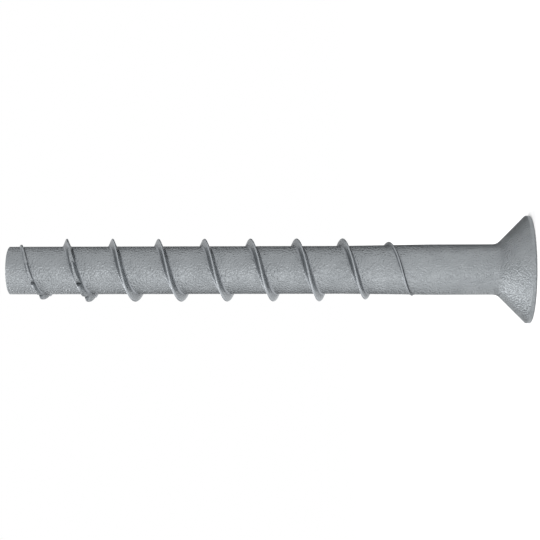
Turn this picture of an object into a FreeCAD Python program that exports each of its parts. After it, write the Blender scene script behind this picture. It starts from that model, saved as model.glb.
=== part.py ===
import FreeCAD, Part
import math
import os

# Concrete screw in one piece of hardened, zinc-coated steel, in millimetres. It stands on the flat
# of its countersunk head with the tip up: the axis is Z, and the middle of the head's flat is the
# origin. A blank is turned first: head, shank, a slight taper and the thinner core. A coarse
# right-hand thread runs on it from the tip, with saw teeth along its first two turns, and sinks
# into the taper before it reaches the shank. A six-lobe recess goes into the flat of the head.

# Blank
overall_length = 100.0
head_diameter = 20.6
head_rim_height = 0.8
countersink_angle = 90.0
neck_radius = 2.0
shank_diameter = 9.7
shank_end_height = 19.0
taper_length = 16.4
core_diameter = 9.2
tip_edge_chamfer = 0.12
rim_edge_chamfer = 0.15

# Thread. Heights are above the core, and turns are counted from the tip end.
thread_diameter = 12.1
thread_pitch = 8.86
flank_angle = 41.4
crest_width = 0.5
crest_rise = 0.12
root_flare = 0.25
thread_setback = 1.0
thread_start_angle = 46.0
lead_in_turns = 0.95
lead_in_power = 1.25
run_out_length = 16.8
end_sink = 0.1

# Saw teeth. Each notch ramps down from the crest and ends at a steep cutting face.
teeth_per_turn = 8
first_tooth_angle = 34.5
first_turn_notches = (0.19, 0.39, 0.53, 0.72, 0.84, 0.6, 0.5, 0.3)
second_turn_notches = (0.15, 0.54, 0.84, 0.64, 0.57, 0.5, 0.4, 0.2)
notch_start_clearance = 0.02
notch_margin = 0.4

# Six-lobe recess
recess_across_lobes = 8.95
recess_across_flutes = 6.45
recess_lobe_radius = 0.88
recess_depth = 4.7
recess_floor_angle = 120.0
recess_mouth_diameter = 9.45
recess_mouth_angle = 120.0

# Construction
faces_per_turn = 2
points_per_face = 6
root_overlap = 0.35
longest_arc_reach = 0.45

head_radius = head_diameter / 2
shank_radius = shank_diameter / 2
core_radius = core_diameter / 2
thread_radius = thread_diameter / 2
thread_height = thread_radius - core_radius
flank_slope = math.tan(math.radians(flank_angle / 2))
taper_end_height = shank_end_height + taper_length
thread_top = overall_length - thread_setback
thread_turns = (thread_top - shank_end_height) / thread_pitch
run_out_turns = run_out_length / thread_pitch


def polar(radius, angle, height=0.0):
    """Point at a radius and an angle in degrees round the axis."""
    turn = math.radians(angle)
    return FreeCAD.Vector(radius * math.cos(turn), radius * math.sin(turn), height)


def rounded_outline(corners):
    """Edges through corners (x, z, radius) in the XZ plane, with an arc in place of each rounded corner."""
    points = [FreeCAD.Vector(x, 0, z) for x, z, _ in corners]
    edges = []
    last = points[0]
    for before, corner, after, (_, _, radius) in zip(points, points[1:], points[2:], corners[1:]):
        to_before = before - corner
        to_after = after - corner
        half_turn = (math.pi - to_before.getAngle(to_after)) / 2
        if radius > 0:
            shorter = min(to_before.Length, to_after.Length)
            reach = min(radius * math.tan(half_turn), longest_arc_reach * shorter)
            radius = reach / math.tan(half_turn)
            to_before.normalize()
            to_after.normalize()
            middle = to_before + to_after
            middle.normalize()
            first = corner + to_before * reach
            top = corner + middle * (radius / math.cos(half_turn) - radius)
            second = corner + to_after * reach
            edges += [Part.LineSegment(last, first).toShape(), Part.Arc(first, top, second).toShape()]
            last = second
        else:
            edges.append(Part.LineSegment(last, corner).toShape())
            last = corner
    edges.append(Part.LineSegment(last, points[-1]).toShape())
    return edges


def blank():
    """Head, neck, shank, taper and core, turned about the axis."""
    cone_slope = math.tan(math.radians(countersink_angle / 2))
    cone_height = (head_radius - shank_radius) / cone_slope
    corners = [
        (0, 0, 0),
        (head_radius - rim_edge_chamfer, 0, 0),
        (head_radius, rim_edge_chamfer, 0),
        (head_radius, head_rim_height, 0),
        (shank_radius, head_rim_height + cone_height, neck_radius),
        (shank_radius, shank_end_height, 0),
        (core_radius, taper_end_height, 0),
        (core_radius, overall_length - tip_edge_chamfer, 0),
        (core_radius - tip_edge_chamfer, overall_length, 0),
        (0, overall_length, 0),
    ]
    outline = rounded_outline(corners)
    outline.append(Part.LineSegment(FreeCAD.Vector(0, 0, overall_length), FreeCAD.Vector(0, 0, 0)).toShape())
    section = Part.Face(Part.Wire(outline))
    return section.revolve(FreeCAD.Vector(0, 0, 0), FreeCAD.Vector(0, 0, 1), 360)


def blank_radius(height):
    """Radius of the core, taper or shank that the thread stands on."""
    along = (taper_end_height - height) / taper_length
    return core_radius + (shank_radius - core_radius) * min(max(along, 0), 1)


def crest_radius(turns):
    """Radius of the crest: it grows over the lead-in, stays full, and sinks evenly over the run-out."""
    height = thread_height
    if turns < lead_in_turns:
        left = 1 - turns / lead_in_turns
        height = (thread_height + end_sink) * (1 - left**lead_in_power) - end_sink
    run_out = (turns - thread_turns + run_out_turns) / run_out_turns
    drop = (thread_radius - shank_radius + end_sink) * max(run_out, 0)
    return core_radius + height - drop


def thread_rails(stations):
    """Helical curves through the corners of the thread's section, from its tip side over the crest."""
    rows = [[] for _ in range(7)]
    for turns in stations:
        height = thread_top - thread_pitch * turns
        angle = thread_start_angle - 360 * turns
        base = blank_radius(height)
        crest = crest_radius(turns)
        flare = root_flare * max(crest - base, 0) / thread_height
        shoulder = crest - crest_rise
        buried = base - root_overlap
        foot = min(base + flare, (shoulder + buried) / 2)
        foot_offset = crest_width / 2 + (shoulder - foot) * flank_slope
        section = [
            (foot_offset + foot - buried, buried),
            (foot_offset, foot),
            (crest_width / 2, shoulder),
            (0, crest),
        ]
        section += [(-offset, radius) for offset, radius in reversed(section[:3])]
        for row, (offset, radius) in zip(rows, section):
            row.append(polar(radius, angle, height + offset))
    rails = []
    for row in rows:
        rail = Part.BSplineCurve()
        rail.interpolate(Points=row, Parameters=stations)
        rails.append(rail)
    return rails


def strip(first, second, cuts):
    """Ruled surfaces between two rails, one for each stretch from cut to cut."""
    poles = [list(pair) for pair in zip(first.getPoles(), second.getPoles())]
    whole = Part.BSplineSurface()
    whole.buildFromPolesMultsKnots(
        poles, first.getMultiplicities(), [2, 2], first.getKnots(), [0, 1], False, False, first.Degree, 1)
    surfaces = []
    for start, end in zip(cuts, cuts[1:]):
        stretch = whole.copy()
        stretch.segment(start, end, 0, 1)
        surfaces.append(stretch)
    return surfaces


def smooth_thread():
    """Thread before its teeth: root flares, flanks, a blunt ridge, and a root inside the core."""
    count = math.ceil(thread_turns * faces_per_turn) * points_per_face
    stations = [thread_turns * i / count for i in range(count + 1)]
    cuts = stations[::points_per_face]
    rails = thread_rails(stations)
    strips = [strip(first, second, cuts) for first, second in zip(rails, rails[1:] + rails[:1])]
    faces = [surface.toShape() for surfaces in strips for surface in surfaces]
    for place in (0, -1):
        edges = [surfaces[place].uIso(cuts[place]).toShape() for surfaces in strips]
        faces.append(Part.Face(Part.Wire(edges)))
    shell = Part.makeShell(faces)
    shell.sewShape()
    solid = Part.makeSolid(shell)
    if solid.Volume < 0:
        solid.reverse()
    return solid


def notch(number, share):
    """Cutter that ramps the crest down to a share of its height and ends at a tooth's cutting face."""
    step = 360 / teeth_per_turn
    face_angle = -(first_tooth_angle + step * number)
    face_turns = (thread_start_angle - face_angle) / 360
    ramp_turns = face_turns - 1 / teeth_per_turn
    face_crest = crest_radius(face_turns)
    ramp_crest = crest_radius(max(ramp_turns, 0)) + notch_start_clearance
    floor = face_crest - share * (face_crest - core_radius)
    outside = thread_radius + notch_margin
    middle_angle = face_angle + step / 2
    start_angle = face_angle + step
    outline = Part.Wire([
        Part.Arc(polar(ramp_crest, start_angle), polar((ramp_crest + floor) / 2, middle_angle),
                 polar(floor, face_angle)).toShape(),
        Part.LineSegment(polar(floor, face_angle), polar(outside, face_angle)).toShape(),
        Part.Arc(polar(outside, face_angle), polar(outside, middle_angle),
                 polar(outside, start_angle)).toShape(),
        Part.LineSegment(polar(outside, start_angle), polar(ramp_crest, start_angle)).toShape(),
    ])
    half_base = crest_width / 2 + thread_height * flank_slope + root_flare
    reach = half_base + thread_pitch / teeth_per_turn / 2 + notch_margin
    middle_height = thread_top - thread_pitch * (face_turns + ramp_turns) / 2
    cutter = Part.Face(outline).extrude(FreeCAD.Vector(0, 0, 2 * reach))
    cutter.translate(FreeCAD.Vector(0, 0, middle_height - reach))
    return cutter


def recess():
    """Six-lobe drive recess, with a shallow cone at its mouth and another as its floor."""
    lobe_distance = recess_across_lobes / 2 - recess_lobe_radius
    flute = recess_across_flutes / 2
    across = math.cos(math.radians(30))
    flute_radius = (lobe_distance**2 + flute**2 - 2 * lobe_distance * flute * across - recess_lobe_radius**2) / (
        2 * (recess_lobe_radius + lobe_distance * across - flute))
    edges = []
    for lobe in range(6):
        angle = 60 * lobe
        centre = polar(lobe_distance, angle)
        sides = [polar(flute + flute_radius, angle + turn) for turn in (-30, 30)]
        joints = [centre + (side - centre) * (recess_lobe_radius / (recess_lobe_radius + flute_radius))
                  for side in sides]
        edges.append(Part.Arc(joints[0], polar(recess_across_lobes / 2, angle), joints[1]).toShape())
        next_centre = polar(lobe_distance, angle + 60)
        next_joint = next_centre + (sides[1] - next_centre) * (
            recess_lobe_radius / (recess_lobe_radius + flute_radius))
        edges.append(Part.Arc(joints[1], polar(flute, angle + 30), next_joint).toShape())
    socket = Part.Face(Part.Wire(edges)).extrude(FreeCAD.Vector(0, 0, recess_depth))
    mouth_radius = recess_mouth_diameter / 2
    mouth_depth = (mouth_radius - flute) / math.tan(math.radians(recess_mouth_angle / 2))
    mouth = Part.makeCone(mouth_radius, flute, mouth_depth)
    floor_height = flute / math.tan(math.radians(recess_floor_angle / 2))
    floor = Part.makeCone(flute, 0, floor_height, FreeCAD.Vector(0, 0, recess_depth))
    return socket.fuse([mouth, floor])


os.makedirs("parts", exist_ok=True)
notches = [notch(number, share) for number, share in enumerate(first_turn_notches + second_turn_notches)]
threaded = blank().fuse(smooth_thread())
screw = threaded.cut(notches + [recess()])
screw.exportStep("parts/concrete_screw.step")
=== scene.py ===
import math
import bpy
import numpy as np
from mathutils import Matrix, Vector


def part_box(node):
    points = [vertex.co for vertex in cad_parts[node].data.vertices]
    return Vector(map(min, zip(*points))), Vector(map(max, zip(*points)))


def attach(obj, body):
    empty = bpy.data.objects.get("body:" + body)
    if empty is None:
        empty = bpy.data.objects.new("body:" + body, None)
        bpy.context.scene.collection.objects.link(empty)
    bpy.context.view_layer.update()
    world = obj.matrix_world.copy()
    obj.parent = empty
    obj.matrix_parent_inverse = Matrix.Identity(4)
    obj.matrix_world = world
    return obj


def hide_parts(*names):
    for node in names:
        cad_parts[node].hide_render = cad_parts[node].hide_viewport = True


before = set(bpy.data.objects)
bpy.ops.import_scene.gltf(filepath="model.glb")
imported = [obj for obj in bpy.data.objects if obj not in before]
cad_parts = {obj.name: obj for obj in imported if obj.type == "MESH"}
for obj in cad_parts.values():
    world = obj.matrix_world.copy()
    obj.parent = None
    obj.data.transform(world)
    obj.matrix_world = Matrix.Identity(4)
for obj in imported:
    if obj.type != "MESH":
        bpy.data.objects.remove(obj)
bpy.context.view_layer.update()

# Camera. It stands close in front of the screw, slightly below its axis in the picture, and is
# turned a quarter so that the standing screw lies across the picture with its tip on the left.
# Its place comes from how far the near sides of the tip and the head bulge outwards in the view.
MM = 0.001
IMAGE_SIDE = 540
FOCAL_PIXELS = 1502.5
SENSOR_WIDTH = 36.0

low_corner, high_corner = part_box("concrete_screw")
camera_place = Vector((-23.6, -288.0, 41.8)) * MM
aimed_at = Vector((0.0, 0.0, 49.68)) * MM
camera_data = bpy.data.cameras.new("camera")
camera_data.sensor_width = SENSOR_WIDTH
camera_data.lens = FOCAL_PIXELS / IMAGE_SIDE * SENSOR_WIDTH
camera_data.clip_start = 0.02
camera_data.clip_end = 20.0
camera = bpy.data.objects.new("camera", camera_data)
bpy.context.scene.collection.objects.link(camera)
forward = (aimed_at - camera_place).normalized()
right = forward.cross(Vector((1, 0, 0))).normalized()
camera.rotation_mode = "QUATERNION"
camera.rotation_quaternion = Matrix((right, right.cross(forward), -forward)).transposed().to_quaternion()
camera.location = camera_place
bpy.context.scene.camera = camera
bpy.context.scene.view_settings.view_transform = "Standard"


# Floor and room. The screw stands on a plain white table in a white room, which also lights it.
# The table is matt, and keeps the screw's soft shadow.
def linear(code):
    """Linear colour of an sRGB hex code: each channel by the standard's curve."""
    parts = [int(code[i:i + 2], 16) / 255 for i in (1, 3, 5)]
    return [p / 12.92 if p <= 0.04045 else ((p + 0.055) / 1.055) ** 2.4 for p in parts] + [1.0]


def add(tree, kind, inputs=None, **settings):
    """Adds a node: settings are its own options, and inputs are values, or sockets to link."""
    made = tree.nodes.new(kind)
    for name, value in settings.items():
        setattr(made, name, value)
    for name, value in (inputs or {}).items():
        if isinstance(value, bpy.types.NodeSocket):
            tree.links.new(value, made.inputs[name])
        else:
            made.inputs[name].default_value = value
    return made


def new_material(name):
    """An empty node material: its tree, and the material."""
    material = bpy.data.materials.new(name)
    material.use_nodes = True
    material.node_tree.nodes.clear()
    return material.node_tree, material


def matt(name, colour):
    """A plain matt material."""
    tree, material = new_material(name)
    shader = add(tree, "ShaderNodeBsdfDiffuse", {"Color": colour})
    add(tree, "ShaderNodeOutputMaterial", {"Surface": shader.outputs["BSDF"]})
    return material


def rectangle(name, centre, across, up, material):
    """A flat rectangle about its centre, spanned by two half sides."""
    corners = [centre - across - up, centre + across - up, centre + across + up, centre - across + up]
    mesh = bpy.data.meshes.new(name)
    mesh.from_pydata(corners, [], [(0, 1, 2, 3)])
    mesh.materials.append(material)
    made = bpy.data.objects.new(name, mesh)
    bpy.context.scene.collection.objects.link(made)
    return made


room_colour = linear("#ffffff")
floor_paint = matt("white_table", linear("#ffffff"))
floor_reach = 4.0

world = bpy.data.worlds.new("white_room")
world.use_nodes = True
world.node_tree.nodes.clear()
room_light = add(world.node_tree, "ShaderNodeBackground", {"Color": room_colour, "Strength": 1.0})
add(world.node_tree, "ShaderNodeOutputWorld", {"Surface": room_light.outputs["Background"]})
bpy.context.scene.world = world

floor = rectangle("floor", Vector((0, 0, low_corner.z)), Vector((floor_reach, 0, 0)),
                  Vector((0, floor_reach, 0)), floor_paint)


# Lamps and cards. A small lamp in front and a soft one behind stand on the tip's side, below the
# screw in the picture, and bring out the dimples of its coat. Dark cards behind it, above and below
# in the picture and on the floor, darken the metal's edges. They are in no view and cast no shadow.
def lamp(name, way, size, level):
    """A square lamp that faces the middle of the screw: level is its share of full white there."""
    data = bpy.data.lights.new(name, "AREA")
    data.size = size
    data.energy = level * math.pi ** 2 * lamp_distance ** 2
    made = bpy.data.objects.new(name, data)
    bpy.context.scene.collection.objects.link(made)
    towards = Vector(way).normalized()
    made.location = aimed_at + towards * lamp_distance
    made.rotation_mode = "QUATERNION"
    made.rotation_quaternion = towards.to_track_quat("Z", "Y")


lamp_distance = 0.5
lamp("front_lamp", way=(-0.55, -0.72, 0.17), size=0.04, level=0.17)
lamp("back_lamp", way=(-0.48, 0.38, 0.79), size=0.33, level=0.47)

card_black = matt("black_card", linear("#2c2c2e"))
cards = {
    "upper_card": ((0.128, 0.10, 0.03), (0.085, 0.0, 0.0), (0.0, 0.0, 0.12)),
    "lower_card": ((-0.08, 0.10, 0.02), (0.045, 0.0, 0.0), (0.0, 0.0, 0.085)),
    "floor_card": ((0.1, 0.105, 0.0003), (0.105, 0.0, 0.0), (0.0, 0.1, 0.0)),
}
for name, (centre, across, up) in cards.items():
    card = rectangle(name, Vector(centre), Vector(across), Vector(up), card_black)
    card.visible_camera = False
    card.visible_diffuse = False
    card.visible_shadow = False


# Screw. One piece of hardened steel, forged and thread-rolled, with saw teeth along the first two
# turns of its coarse thread. It is one closed surface: rows follow the thread from the tip to the
# head, then the recess down to its floor, and columns stand at fixed angles round the axis.
length = (high_corner.z - low_corner.z) / MM
head_radius = high_corner.x / MM
head_rim_height = 0.8
rim_edge = 0.15
rim_bevel = 0.06
cone_angle = 45
neck_radius = 2.0
neck_rows = 8
shank_radius = 4.85
shank_end_height = 19.0
taper_length = 16.4
core_radius = 4.6
tip_edge = 0.12

# Thread. Sizes are in millimetres, and angles in degrees down the thread from its zero on the +X side.
thread_radius = 6.05
toothed_radius = 6.14
toothed_turns = 2
thread_pitch = 8.86
thread_zero_height = 97.87
thread_start = -46.0
lead_in = 342.0
start_height = 0.26
start_steepness = 0.02
end_sink = 0.1
run_out_length = 16.8
run_out_limit = 1.5
flank_angle = 41.4
flank_steepness = 1 / math.tan(math.radians(flank_angle / 2))
crest_half_width = 0.16
crest_drop = 0.1
root_flare = 0.25
top_turn, last_turn = -1, 10
plain_end = 9.0

# Saw teeth. Each notch has its share of the thread's height at the foot of its cutting face.
teeth_per_turn = 8
tooth_step = 360 / teeth_per_turn
first_tooth_angle = 34.5
cutting_face_width = 0.4
cutting_face_excess = 0.05
ramp_power = 1.8
notch_shares = np.array([0.4, 0.65, 0.85, 0.72, 0.84, 0.6, 0.5, 0.3,
                         0.15, 0.6, 0.72, 0.64, 0.57, 0.5, 0.4, 0.2])
least_notch = 0.08

# Rows across one pitch, as shares of the crest, the flank, the flare and the gap
columns_per_tooth = 16
crest_stations = np.array([0, 0.35, 0.65, 0.86, 1])
flank_stations = np.array([0.2, 0.5, 0.8, 1])
flare_stations = np.array([0.5, 1])
gap_stations = np.array([0.03, 0.12, 0.5, 1])
row_clearance = 0.05
row_tolerance = 0.01

# Wear and painted highlight, painted shade in the thread's corners, and smoother rolled faces
# along the thread, which its material reads from the mesh
flare_highlight = 0.8
full_share_height = 0.3
# Painted shade along the foot of the flanks and in the corner before each cutting face
root_shade_width = 0.24
root_shade_fade = 0.2
tip_side_shade_height = 0.7
sunk_shade_height = 0.48
run_out_shade_reach = 0.5
root_shade_share = 0.42
face_shade_share = 0.42

# Six-lobe recess
lobe_step = 60
recess_across_lobes = 8.95
recess_across_flutes = 6.45
recess_lobe_radius = 0.88
recess_depth = 4.7
recess_mouth_radius = 4.725
recess_cone_angle = 120
recess_cone_slope = math.tan(math.radians(recess_cone_angle / 2))

merging_decimals = 5
sharp_from = 20


def column_angles():
    """Angles round the axis, from +X towards -Y: even steps, with a close pair at each cutting face."""
    step = (tooth_step - cutting_face_width) / columns_per_tooth
    offsets = np.append(0, cutting_face_width + step * np.arange(columns_per_tooth))
    starts = first_tooth_angle + tooth_step * np.arange(teeth_per_turn)
    angles = (starts[:, None] + offsets).ravel()
    return np.append(angles, angles[0] + 360)


def blank_radius(height):
    """Radius of core, taper and shank: a straight taper between two cylinders."""
    along = (shank_end_height + taper_length - height) / taper_length
    return core_radius + (shank_radius - core_radius) * np.clip(along, 0, 1)


def run_out_share(axial):
    """How far the thread has run out at a height: nothing above the taper, one where the shank
    begins, and up to a limit below."""
    return np.clip((shank_end_height + run_out_length - axial) / run_out_length, 0, run_out_limit)


def crest_radius(angle):
    """Radius of the crest along the thread: a short steep start, a straight rise over the lead-in, then
    level, then a straight fall over the run-out. The toothed turns stand slightly higher."""
    left = np.clip(1 - (angle - thread_start) / lead_in, 0, 1)
    toothed = np.clip((360 * toothed_turns + first_tooth_angle - angle) / tooth_step, 0, 1)
    full = thread_radius + (toothed_radius - thread_radius) * toothed - core_radius
    rise = full + (start_height - full) * left
    height = rise - start_steepness * np.clip(thread_start - angle, 0, None)
    run_out = run_out_share(thread_zero_height - thread_pitch * angle / 360)
    return core_radius + height - (thread_radius - shank_radius + end_sink) * run_out


def notch_floor(angle):
    """Radius of the notch floors: each falls, slowly first, from the crest to its share below, and then
    rises at the cutting face, a fraction of a degree wide. It is far out where there is no notch."""
    count = len(notch_shares)
    number = np.floor((angle - first_tooth_angle) / tooth_step).astype(int) + 1
    share = notch_shares[np.clip(number, 0, count - 1)]
    face = first_tooth_angle + tooth_step * number
    start = face - tooth_step
    along = np.clip((angle - start) / tooth_step, 0, 1)
    top = crest_radius(start)
    face_top = crest_radius(face)
    bottom = face_top - share * (face_top - core_radius)
    ramp = top + (bottom - top) * along ** ramp_power
    share_before = np.where(number > 0, notch_shares[np.clip(number - 1, 0, count - 1)], 0)
    low = top - share_before * (top - core_radius)
    rise = low + (top + cutting_face_excess - low) * (angle - start) / cutting_face_width
    floor_at = np.where(number > 0, np.minimum(ramp, rise), ramp)
    floor_at = np.where(number == count, rise, floor_at)
    return np.where((number < 0) | (number > count), np.inf, floor_at)


def turn_rows(angle):
    """Radius and height of the rows across one pitch, and their shares of wear and painted highlight,
    of painted shade in a root's corner, and of rolled smoothness. Stations run over the crest or
    notch floor, down the flank, over the root flare and
    along the gap. The section is the crest's parabola, a straight flank, a flare at 45 degrees, and
    the blank."""
    axial = (thread_zero_height - thread_pitch * angle / 360)[:, None]
    crest = crest_radius(angle)[:, None]
    floor_at = np.minimum(notch_floor(angle)[:, None], crest)
    height = np.clip(crest - blank_radius(axial), 0, None)
    flare = root_flare * np.clip(height / (thread_radius - core_radius), 0, 1)
    flank_foot = crest_half_width + (height - crest_drop - flare) / flank_steepness
    top = crest_half_width + np.clip(crest - crest_drop - floor_at, 0, None) / flank_steepness
    foot = np.maximum(flank_foot, top + row_clearance)
    root = np.maximum(flank_foot + flare, foot + row_clearance)
    side = np.concatenate([
        top * crest_stations,
        top + (foot - top) * flank_stations,
        foot + (root - foot) * flare_stations,
        root + (thread_pitch / 2 - root) * gap_stations,
    ], 1)
    offset = np.concatenate([side[:, ::-1], -side[:, 1:]], 1)
    z = np.clip(axial + offset, plain_end, length - tip_edge)
    away = np.abs(z - axial)
    arc = crest_drop * np.clip(away / crest_half_width, 0, 1) ** 2
    flank = crest - arc - np.clip(away - crest_half_width, 0, None) * flank_steepness
    base = blank_radius(z)
    flared = base + flank_foot + flare - away
    r = np.maximum(base, np.minimum(np.maximum(flank, flared), floor_at))

    notched = crest - floor_at > least_notch
    at_face = np.isclose((angle - first_tooth_angle) % tooth_step, 0)[:, None]
    on_crest = away <= top + row_tolerance
    on_thread = away < root + row_tolerance
    on_flare = on_thread & (away >= foot - row_tolerance)
    on_floor = notched & on_crest
    standing = np.clip(height / full_share_height, 0, 1)
    # Painted highlight: crests, and less so the flares, are painted brighter. On the crests this is partly
    # real wear.
    wear_and_highlight = np.where(on_floor, 0, np.where(on_crest, 1, np.where(on_flare, flare_highlight, 0))) * standing
    # Painted shade: the foot of each flank and the corner before each cutting face are painted darker,
    # mostly on the head's side and beside the run-out.
    sunk = np.clip(run_out_share(axial) / run_out_shade_reach, 0, 1)
    shade_from = tip_side_shade_height + (sunk_shade_height - tip_side_shade_height) * sunk
    shade_from = np.where(z > axial, shade_from, 0)
    painted_root_shade = np.clip(1 - np.abs(away - flank_foot) / root_shade_width, 0, 1)
    painted_root_shade = painted_root_shade * (root_shade_share + (1 - root_shade_share) * sunk)
    painted_root_shade = painted_root_shade * np.clip((height - shade_from) / root_shade_fade, 0, 1)
    painted_root_shade = np.where(at_face & on_floor, face_shade_share, painted_root_shade)
    rolled = np.where(on_floor, 0, on_thread) * standing
    return r, z, wear_and_highlight, painted_root_shade, rolled


def lobed_radius(angle):
    """Radius of the six-lobe outline: the far side of a lobe's circle, or between lobes the near side
    of a flute's circle, which touches both lobes beside it."""
    half_step = math.radians(lobe_step / 2)
    lobe_distance = recess_across_lobes / 2 - recess_lobe_radius
    flute = recess_across_flutes / 2
    across = math.cos(half_step)
    flute_radius = lobe_distance ** 2 + flute ** 2 - 2 * lobe_distance * flute * across
    flute_radius = (flute_radius - recess_lobe_radius ** 2) / (
        2 * (recess_lobe_radius + lobe_distance * across - flute))
    flute_distance = flute + flute_radius
    off_lobe = np.radians(np.abs((angle + lobe_step / 2) % lobe_step - lobe_step / 2))
    off_flute = half_step - off_lobe
    lobe = recess_lobe_radius ** 2 - (lobe_distance * np.sin(off_lobe)) ** 2
    lobe = lobe_distance * np.cos(off_lobe) + np.sqrt(np.clip(lobe, 0, None))
    valley = flute_radius ** 2 - (flute_distance * np.sin(off_flute)) ** 2
    valley = flute_distance * np.cos(off_flute) - np.sqrt(np.clip(valley, 0, None))
    joint = recess_lobe_radius / (recess_lobe_radius + flute_radius)
    flute_centre = flute_distance * np.array([across, math.sin(half_step)])
    touch = joint * flute_centre + (1 - joint) * np.array([lobe_distance, 0])
    return np.where(off_lobe < math.atan2(touch[1], touch[0]), lobe, valley)


def screw_surface():
    """Radius, height and the three shares of every row and column, from the middle of the tip over
    the thread, neck and head to the middle of the recess floor."""
    angle = column_angles()
    ring = np.ones(len(angle))
    radii = [0 * ring, (core_radius - tip_edge) * ring]
    heights = [length * ring, length * ring]
    shares = [[0 * ring, 0 * ring] for _ in range(3)]
    for turn in range(top_turn, last_turn + 1):
        first = 0 if turn == top_turn else 1
        for so_far, new in zip([radii, heights] + shares, turn_rows(angle + 360 * turn)):
            so_far += list(new.T[first:])
    neck_reach = neck_radius * math.tan(math.radians(cone_angle / 2))
    cone_height = (head_radius - shank_radius) / math.tan(math.radians(cone_angle))
    neck_height = head_rim_height + cone_height + neck_reach
    outline = []
    for bend in np.radians(np.linspace(0, cone_angle, neck_rows)):
        neck_rise = neck_radius * math.sin(bend)
        outline.append((shank_radius + neck_radius * (1 - math.cos(bend)), neck_height - neck_rise))
    outline += [
        (head_radius - rim_bevel, head_rim_height + rim_bevel),
        (head_radius, head_rim_height - rim_bevel),
        (head_radius, rim_edge),
        (head_radius - rim_edge, 0),
    ]
    radii += [r * ring for r, _ in outline]
    heights += [z * ring for _, z in outline]
    lobes = lobed_radius(angle)
    flute = recess_across_flutes / 2
    radii += [recess_mouth_radius * ring, lobes, lobes, np.minimum(lobes, flute), 0 * ring]
    heights += [0 * ring, (recess_mouth_radius - lobes) / recess_cone_slope, recess_depth * ring,
                recess_depth * ring, (recess_depth + flute / recess_cone_slope) * ring]
    shares = [share + [0 * ring] * (len(radii) - len(share)) for share in shares]
    return angle, np.array(radii), np.array(heights), np.array(shares)


# Points that fall together, at the seam, the two poles and along plain stretches, become one, and
# the triangles that this leaves without width go.
angle, radii, heights, shares = screw_surface()
turned = np.radians(-angle)
points = np.stack([radii * np.cos(turned), radii * np.sin(turned), heights], -1)
_, kept, merged = np.unique(np.round(points.reshape(-1, 3), merging_decimals), axis=0,
                            return_index=True, return_inverse=True)
merged = merged.reshape(radii.shape)
a, b, c, d = merged[:-1, :-1], merged[1:, :-1], merged[1:, 1:], merged[:-1, 1:]
triangles = np.concatenate([np.stack([a, d, c], -1).reshape(-1, 3),
                            np.stack([a, c, b], -1).reshape(-1, 3)])
has_width = (triangles != np.roll(triangles, 1, axis=1)).all(axis=1)
mesh = bpy.data.meshes.new("concrete_screw_surface")
mesh.from_pydata((points.reshape(-1, 3)[kept] * MM).tolist(), [], triangles[has_width].tolist())
mesh.shade_smooth()
mesh.set_sharp_from_angle(angle=math.radians(sharp_from))
# Of the three shares, the second (root) is painted shade in the thread's corners, and the first is wear
# with painted highlight.
for name, share in zip(("wear_and_highlight", "root", "rolled"), shares):
    attribute = mesh.attributes.new(name, "FLOAT", "POINT")
    attribute.data.foreach_set("value", share.reshape(-1)[kept].astype(np.float32))
screw = bpy.data.objects.new("screw", mesh)
bpy.context.scene.collection.objects.link(screw)

# Zinc coat. Zinc flakes baked onto the steel give a matt, bluish grey metal with a fine dimpled skin.
# It is painted darker in the corners of the thread as painted shade, mostly on the head's side and
# most beside the run-out, and painted brighter on crests and flares as painted highlight, on the
# crests partly also wear. The rolled faces are smoother. Its grain is drawn as coarse as it has to
# be to show in the picture.
dimple_width = 0.34
grain_width = 0.28
cloud_width = 3.0
cloud_low, cloud_high = 0.35, 0.65
dimple_depth = 0.155
rolled_skin = 0.35
roughness = 0.43
darker_coat, paler_coat = linear("#8d9194"), linear("#95999c")
# A paler coat for wear and painted highlight
worn_highlight_coat = linear("#9da1a5")
# A dark coat for painted shade
painted_shade_coat = linear("#4c4f53")

tree, zinc = new_material("zinc_flake_coat")
place = add(tree, "ShaderNodeTexCoord").outputs["Object"]
dimples = add(tree, "ShaderNodeTexNoise", {"Vector": place, "Detail": 0.0,
                                           "Scale": 1 / (dimple_width * MM)})
grain = add(tree, "ShaderNodeTexNoise", {"Vector": place, "Detail": 1.0, "Scale": 1 / (grain_width * MM)})
clouds = add(tree, "ShaderNodeTexNoise", {"Vector": place, "Detail": 3.0, "Scale": 1 / (cloud_width * MM)})
spread = add(tree, "ShaderNodeMapRange", {"Value": clouds.outputs["Fac"],
                                               "From Min": cloud_low, "From Max": cloud_high})
wear_and_highlight = add(tree, "ShaderNodeAttribute", attribute_name="wear_and_highlight")
root = add(tree, "ShaderNodeAttribute", attribute_name="root")
rolled = add(tree, "ShaderNodeAttribute", attribute_name="rolled")
plain = add(tree, "ShaderNodeMix", {0: spread.outputs["Result"], 6: darker_coat, 7: paler_coat},
            data_type="RGBA")
# Painted highlight, partly wear on the crests: crests and flares are mixed towards the paler coat.
coat_with_highlight = add(tree, "ShaderNodeMix", {0: wear_and_highlight.outputs["Fac"], 6: plain.outputs[2], 7: worn_highlight_coat},
           data_type="RGBA")
# Painted shade: the thread's corners are mixed towards the dark coat.
coat = add(tree, "ShaderNodeMix", {0: root.outputs["Fac"], 6: coat_with_highlight.outputs[2], 7: painted_shade_coat},
           data_type="RGBA")
skin = add(tree, "ShaderNodeMath", {0: dimples.outputs["Fac"], 1: grain.outputs["Fac"]}, operation="ADD")
skin_left = add(tree, "ShaderNodeMapRange", {"Value": rolled.outputs["Fac"],
                                                  "To Min": 1.0, "To Max": rolled_skin})
bump = add(tree, "ShaderNodeBump", {"Height": skin.outputs["Value"], "Distance": dimple_depth * MM,
                                    "Strength": skin_left.outputs["Result"]})
shader = add(tree, "ShaderNodeBsdfPrincipled", {"Base Color": coat.outputs[2], "Metallic": 1.0,
                                                "Roughness": roughness, "Normal": bump.outputs["Normal"]})
add(tree, "ShaderNodeOutputMaterial", {"Surface": shader.outputs["BSDF"]})
mesh.materials.append(zinc)

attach(screw, "root")
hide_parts("concrete_screw")
